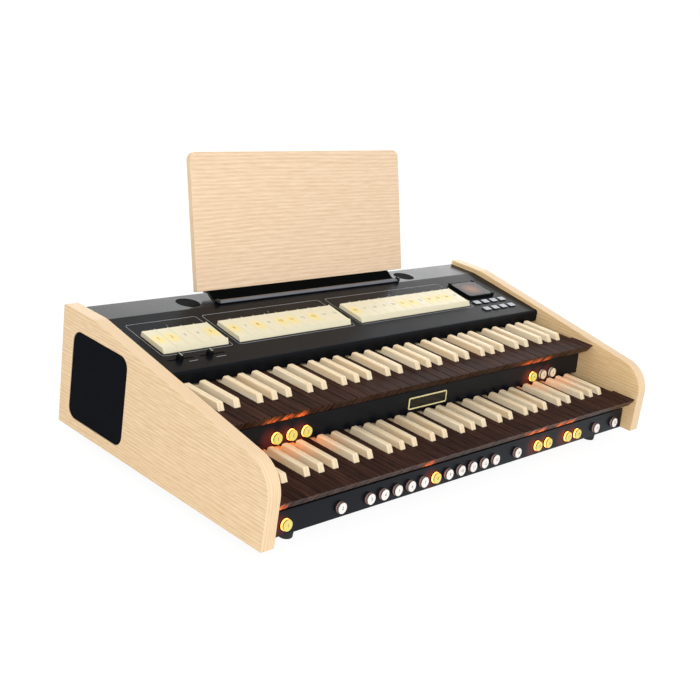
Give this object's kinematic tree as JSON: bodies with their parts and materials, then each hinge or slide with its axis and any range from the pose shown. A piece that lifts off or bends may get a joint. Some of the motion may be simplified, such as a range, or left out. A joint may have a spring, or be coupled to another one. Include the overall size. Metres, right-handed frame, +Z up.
{
  "type": "electronic organ",
  "caption": "Table-top electronic organ with two manuals between slanting wooden cheeks, rocker tabs, pistons, sliders, a display and a lift-off music rest.",
  "frame": {"origin": "bottom centre of the whole box, on the surface under the rubber feet", "axes": "+X to the player's right along the keyboards, +Y from the player to the back, +Z up"},
  "size_m": [0.8968, 0.4916, 0.3966],
  "materials": {
    "wood": "satin pale oak veneer",
    "dark_keys": "satin dark open-grained wood",
    "pale_sharps": "satin pale maple",
    "slips": "satin black",
    "panel": "fine-textured black powder coat",
    "board": "black laminated board",
    "cloth": "black woven speaker cloth",
    "rubber": "matt black",
    "pistons": "translucent, lit amber from inside",
    "gilt": "satin gilt frame, bare field",
    "tabs": "cream, satin",
    "knobs": "black",
    "trim": "black moulded",
    "pane": "tinted, polished",
    "buttons": "light grey rubbery",
    "ledge": "black anodised extrusion",
    "inlet": "black moulded"
  },
  "bodies": {
    "case": {"base_board": "board", "cheek_left": "wood", "cheek_right": "wood", "disc_left": "trim", "disc_right": "trim", "display_bezel": "trim", "display_window": "pane", "foot_front_left": "rubber", "foot_front_right": "rubber", "foot_rear_left": "rubber", "foot_rear_right": "rubber", "grille_left": "cloth", "grille_right": "cloth", "keybed_lower": "dark_keys", "keybed_upper": "dark_keys", "nameplate": "gilt", "power_inlet": "inlet", "rear_panel": "panel", "slip_lower": "slips", "slip_upper": "slips", "tab_rail": "tabs", "top_panel": "panel"},
    "music_rest": {"music_desk": "wood", "music_ledge": "ledge"},
    "key_lower_a_body": {"key_lower_a": "dark_keys"},
    "key_lower_a_sharp_body": {"key_lower_a_sharp": "pale_sharps"},
    "key_lower_b_body": {"key_lower_b": "dark_keys"},
    "key_lower_c_body": {"key_lower_c": "dark_keys"},
    "key_lower_c_sharp_body": {"key_lower_c_sharp": "pale_sharps"},
    "key_lower_d_body": {"key_lower_d": "dark_keys"},
    "key_lower_d_sharp_body": {"key_lower_d_sharp": "pale_sharps"},
    "key_lower_e_body": {"key_lower_e": "dark_keys"},
    "key_lower_f_body": {"key_lower_f": "dark_keys"},
    "key_lower_f_sharp_body": {"key_lower_f_sharp": "pale_sharps"},
    "key_lower_g_body": {"key_lower_g": "dark_keys"},
    "key_lower_g_sharp_body": {"key_lower_g_sharp": "pale_sharps"},
    "key_upper_a_body": {"key_upper_a": "dark_keys"},
    "key_upper_a_sharp_body": {"key_upper_a_sharp": "pale_sharps"},
    "key_upper_b_body": {"key_upper_b": "dark_keys"},
    "key_upper_c_body": {"key_upper_c": "dark_keys"},
    "key_upper_c_sharp_body": {"key_upper_c_sharp": "pale_sharps"},
    "key_upper_d_body": {"key_upper_d": "dark_keys"},
    "key_upper_d_sharp_body": {"key_upper_d_sharp": "pale_sharps"},
    "key_upper_e_body": {"key_upper_e": "dark_keys"},
    "key_upper_f_body": {"key_upper_f": "dark_keys"},
    "key_upper_f_sharp_body": {"key_upper_f_sharp": "pale_sharps"},
    "key_upper_g_body": {"key_upper_g": "dark_keys"},
    "key_upper_g_sharp_body": {"key_upper_g_sharp": "pale_sharps"},
    "tab_1_body": {"tab_1": "tabs"},
    "tab_2_body": {"tab_2": "tabs"},
    "tab_3_body": {"tab_3": "tabs"},
    "tab_4_body": {"tab_4": "tabs"},
    "tab_5_body": {"tab_5": "tabs"},
    "button_1_body": {"button_1": "buttons"},
    "button_2_body": {"button_2": "buttons"},
    "piston_1_body": {"piston_1": "pistons"},
    "piston_2_body": {"piston_2": "pistons"},
    "piston_3_body": {"piston_3": "pistons"},
    "slider_1_body": {"slider_1": "knobs"},
    "slider_2_body": {"slider_2": "knobs"}
  },
  "joints": [
    {"name": "music_rest_lift", "type": "slide", "parent": "case", "child": "music_rest", "axis": [0, 0, 1], "range_m": [0, 0.012]},
    {"name": "key_lower_a_joint", "type": "hinge", "parent": "case", "child": "key_lower_a_body", "pos_m": [0.03525, -0.03186, 0.0593], "axis": [1, 0, 0], "range_deg": [0, 2.73], "stiffness_Nm_per_rad": 0.45, "springref_deg": -28.65},
    {"name": "key_lower_a_sharp_joint", "type": "hinge", "parent": "case", "child": "key_lower_a_sharp_body", "pos_m": [0.05036, -0.03186, 0.0593], "axis": [1, 0, 0], "range_deg": [0, 2.73], "stiffness_Nm_per_rad": 0.45, "springref_deg": -28.65},
    {"name": "key_lower_b_joint", "type": "hinge", "parent": "case", "child": "key_lower_b_body", "pos_m": [0.05875, -0.03186, 0.0593], "axis": [1, 0, 0], "range_deg": [0, 2.73], "stiffness_Nm_per_rad": 0.45, "springref_deg": -28.65},
    {"name": "key_lower_c_joint", "type": "hinge", "parent": "case", "child": "key_lower_c_body", "pos_m": [-0.08225, -0.03186, 0.0593], "axis": [1, 0, 0], "range_deg": [0, 2.73], "stiffness_Nm_per_rad": 0.45, "springref_deg": -28.65},
    {"name": "key_lower_c_sharp_joint", "type": "hinge", "parent": "case", "child": "key_lower_c_sharp_body", "pos_m": [-0.07285, -0.03186, 0.0593], "axis": [1, 0, 0], "range_deg": [0, 2.73], "stiffness_Nm_per_rad": 0.45, "springref_deg": -28.65},
    {"name": "key_lower_d_joint", "type": "hinge", "parent": "case", "child": "key_lower_d_body", "pos_m": [-0.05875, -0.03186, 0.0593], "axis": [1, 0, 0], "range_deg": [0, 2.73], "stiffness_Nm_per_rad": 0.45, "springref_deg": -28.65},
    {"name": "key_lower_d_sharp_joint", "type": "hinge", "parent": "case", "child": "key_lower_d_sharp_body", "pos_m": [-0.04465, -0.03186, 0.0593], "axis": [1, 0, 0], "range_deg": [0, 2.73], "stiffness_Nm_per_rad": 0.45, "springref_deg": -28.65},
    {"name": "key_lower_e_joint", "type": "hinge", "parent": "case", "child": "key_lower_e_body", "pos_m": [-0.03525, -0.03186, 0.0593], "axis": [1, 0, 0], "range_deg": [0, 2.73], "stiffness_Nm_per_rad": 0.45, "springref_deg": -28.65},
    {"name": "key_lower_f_joint", "type": "hinge", "parent": "case", "child": "key_lower_f_body", "pos_m": [-0.01175, -0.03186, 0.0593], "axis": [1, 0, 0], "range_deg": [0, 2.73], "stiffness_Nm_per_rad": 0.45, "springref_deg": -28.65},
    {"name": "key_lower_f_sharp_joint", "type": "hinge", "parent": "case", "child": "key_lower_f_sharp_body", "pos_m": [-0.00336, -0.03186, 0.0593], "axis": [1, 0, 0], "range_deg": [0, 2.73], "stiffness_Nm_per_rad": 0.45, "springref_deg": -28.65},
    {"name": "key_lower_g_joint", "type": "hinge", "parent": "case", "child": "key_lower_g_body", "pos_m": [0.01175, -0.03186, 0.0593], "axis": [1, 0, 0], "range_deg": [0, 2.73], "stiffness_Nm_per_rad": 0.45, "springref_deg": -28.65},
    {"name": "key_lower_g_sharp_joint", "type": "hinge", "parent": "case", "child": "key_lower_g_sharp_body", "pos_m": [0.0235, -0.03186, 0.0593], "axis": [1, 0, 0], "range_deg": [0, 2.73], "stiffness_Nm_per_rad": 0.45, "springref_deg": -28.65},
    {"name": "key_upper_a_joint", "type": "hinge", "parent": "case", "child": "key_upper_a_body", "pos_m": [0.03525, 0.0725, 0.12146], "axis": [1, 0, 0], "range_deg": [0, 2.73], "stiffness_Nm_per_rad": 0.45, "springref_deg": -28.65},
    {"name": "key_upper_a_sharp_joint", "type": "hinge", "parent": "case", "child": "key_upper_a_sharp_body", "pos_m": [0.05036, 0.0725, 0.12146], "axis": [1, 0, 0], "range_deg": [0, 2.73], "stiffness_Nm_per_rad": 0.45, "springref_deg": -28.65},
    {"name": "key_upper_b_joint", "type": "hinge", "parent": "case", "child": "key_upper_b_body", "pos_m": [0.05875, 0.0725, 0.12146], "axis": [1, 0, 0], "range_deg": [0, 2.73], "stiffness_Nm_per_rad": 0.45, "springref_deg": -28.65},
    {"name": "key_upper_c_joint", "type": "hinge", "parent": "case", "child": "key_upper_c_body", "pos_m": [-0.08225, 0.0725, 0.12146], "axis": [1, 0, 0], "range_deg": [0, 2.73], "stiffness_Nm_per_rad": 0.45, "springref_deg": -28.65},
    {"name": "key_upper_c_sharp_joint", "type": "hinge", "parent": "case", "child": "key_upper_c_sharp_body", "pos_m": [-0.07285, 0.0725, 0.12146], "axis": [1, 0, 0], "range_deg": [0, 2.73], "stiffness_Nm_per_rad": 0.45, "springref_deg": -28.65},
    {"name": "key_upper_d_joint", "type": "hinge", "parent": "case", "child": "key_upper_d_body", "pos_m": [-0.05875, 0.0725, 0.12146], "axis": [1, 0, 0], "range_deg": [0, 2.73], "stiffness_Nm_per_rad": 0.45, "springref_deg": -28.65},
    {"name": "key_upper_d_sharp_joint", "type": "hinge", "parent": "case", "child": "key_upper_d_sharp_body", "pos_m": [-0.04465, 0.0725, 0.12146], "axis": [1, 0, 0], "range_deg": [0, 2.73], "stiffness_Nm_per_rad": 0.45, "springref_deg": -28.65},
    {"name": "key_upper_e_joint", "type": "hinge", "parent": "case", "child": "key_upper_e_body", "pos_m": [-0.03525, 0.0725, 0.12146], "axis": [1, 0, 0], "range_deg": [0, 2.73], "stiffness_Nm_per_rad": 0.45, "springref_deg": -28.65},
    {"name": "key_upper_f_joint", "type": "hinge", "parent": "case", "child": "key_upper_f_body", "pos_m": [-0.01175, 0.0725, 0.12146], "axis": [1, 0, 0], "range_deg": [0, 2.73], "stiffness_Nm_per_rad": 0.45, "springref_deg": -28.65},
    {"name": "key_upper_f_sharp_joint", "type": "hinge", "parent": "case", "child": "key_upper_f_sharp_body", "pos_m": [-0.00336, 0.0725, 0.12146], "axis": [1, 0, 0], "range_deg": [0, 2.73], "stiffness_Nm_per_rad": 0.45, "springref_deg": -28.65},
    {"name": "key_upper_g_joint", "type": "hinge", "parent": "case", "child": "key_upper_g_body", "pos_m": [0.01175, 0.0725, 0.12146], "axis": [1, 0, 0], "range_deg": [0, 2.73], "stiffness_Nm_per_rad": 0.45, "springref_deg": -28.65},
    {"name": "key_upper_g_sharp_joint", "type": "hinge", "parent": "case", "child": "key_upper_g_sharp_body", "pos_m": [0.0235, 0.0725, 0.12146], "axis": [1, 0, 0], "range_deg": [0, 2.73], "stiffness_Nm_per_rad": 0.45, "springref_deg": -28.65},
    {"name": "tab_1_joint", "type": "hinge", "parent": "case", "child": "tab_1_body", "pos_m": [-0.38425, 0.09045, 0.1696], "axis": [1, 0, 0], "range_deg": [0, 4], "stiffness_Nm_per_rad": 0.03, "springref_deg": -28.65},
    {"name": "tab_2_joint", "type": "hinge", "parent": "case", "child": "tab_2_body", "pos_m": [-0.36075, 0.09045, 0.1696], "axis": [1, 0, 0], "range_deg": [0, 4], "stiffness_Nm_per_rad": 0.03, "springref_deg": -28.65},
    {"name": "tab_3_joint", "type": "hinge", "parent": "case", "child": "tab_3_body", "pos_m": [-0.33725, 0.09045, 0.1696], "axis": [1, 0, 0], "range_deg": [0, 4], "stiffness_Nm_per_rad": 0.03, "springref_deg": -28.65},
    {"name": "tab_4_joint", "type": "hinge", "parent": "case", "child": "tab_4_body", "pos_m": [-0.31375, 0.09045, 0.1696], "axis": [1, 0, 0], "range_deg": [0, 4], "stiffness_Nm_per_rad": 0.03, "springref_deg": -28.65},
    {"name": "tab_5_joint", "type": "hinge", "parent": "case", "child": "tab_5_body", "pos_m": [-0.29025, 0.09045, 0.1696], "axis": [1, 0, 0], "range_deg": [0, 4], "stiffness_Nm_per_rad": 0.03, "springref_deg": -28.65},
    {"name": "button_1_joint", "type": "slide", "parent": "case", "child": "button_1_body", "axis": [0, 0.1423, -0.9898], "range_m": [0, 0.0008], "stiffness_N_per_m": 600, "springref_m": -0.002},
    {"name": "button_2_joint", "type": "slide", "parent": "case", "child": "button_2_body", "axis": [0, 0.1423, -0.9898], "range_m": [0, 0.0008], "stiffness_N_per_m": 600, "springref_m": -0.002},
    {"name": "piston_1_joint", "type": "slide", "parent": "case", "child": "piston_1_body", "axis": [0, 0.9945, -0.1045], "range_m": [0, 0.0018], "stiffness_N_per_m": 400, "springref_m": -0.004},
    {"name": "piston_2_joint", "type": "slide", "parent": "case", "child": "piston_2_body", "axis": [0, 0.9945, -0.1045], "range_m": [0, 0.0018], "stiffness_N_per_m": 400, "springref_m": -0.004},
    {"name": "piston_3_joint", "type": "slide", "parent": "case", "child": "piston_3_body", "axis": [0, 0.9945, -0.1045], "range_m": [0, 0.0018], "stiffness_N_per_m": 400, "springref_m": -0.004},
    {"name": "slider_1_joint", "type": "slide", "parent": "case", "child": "slider_1_body", "axis": [1, 0, 0], "range_m": [-0.0194, 0.023]},
    {"name": "slider_2_joint", "type": "slide", "parent": "case", "child": "slider_2_body", "axis": [1, 0, 0], "range_m": [-0.0169, 0.0255]}
  ]
}
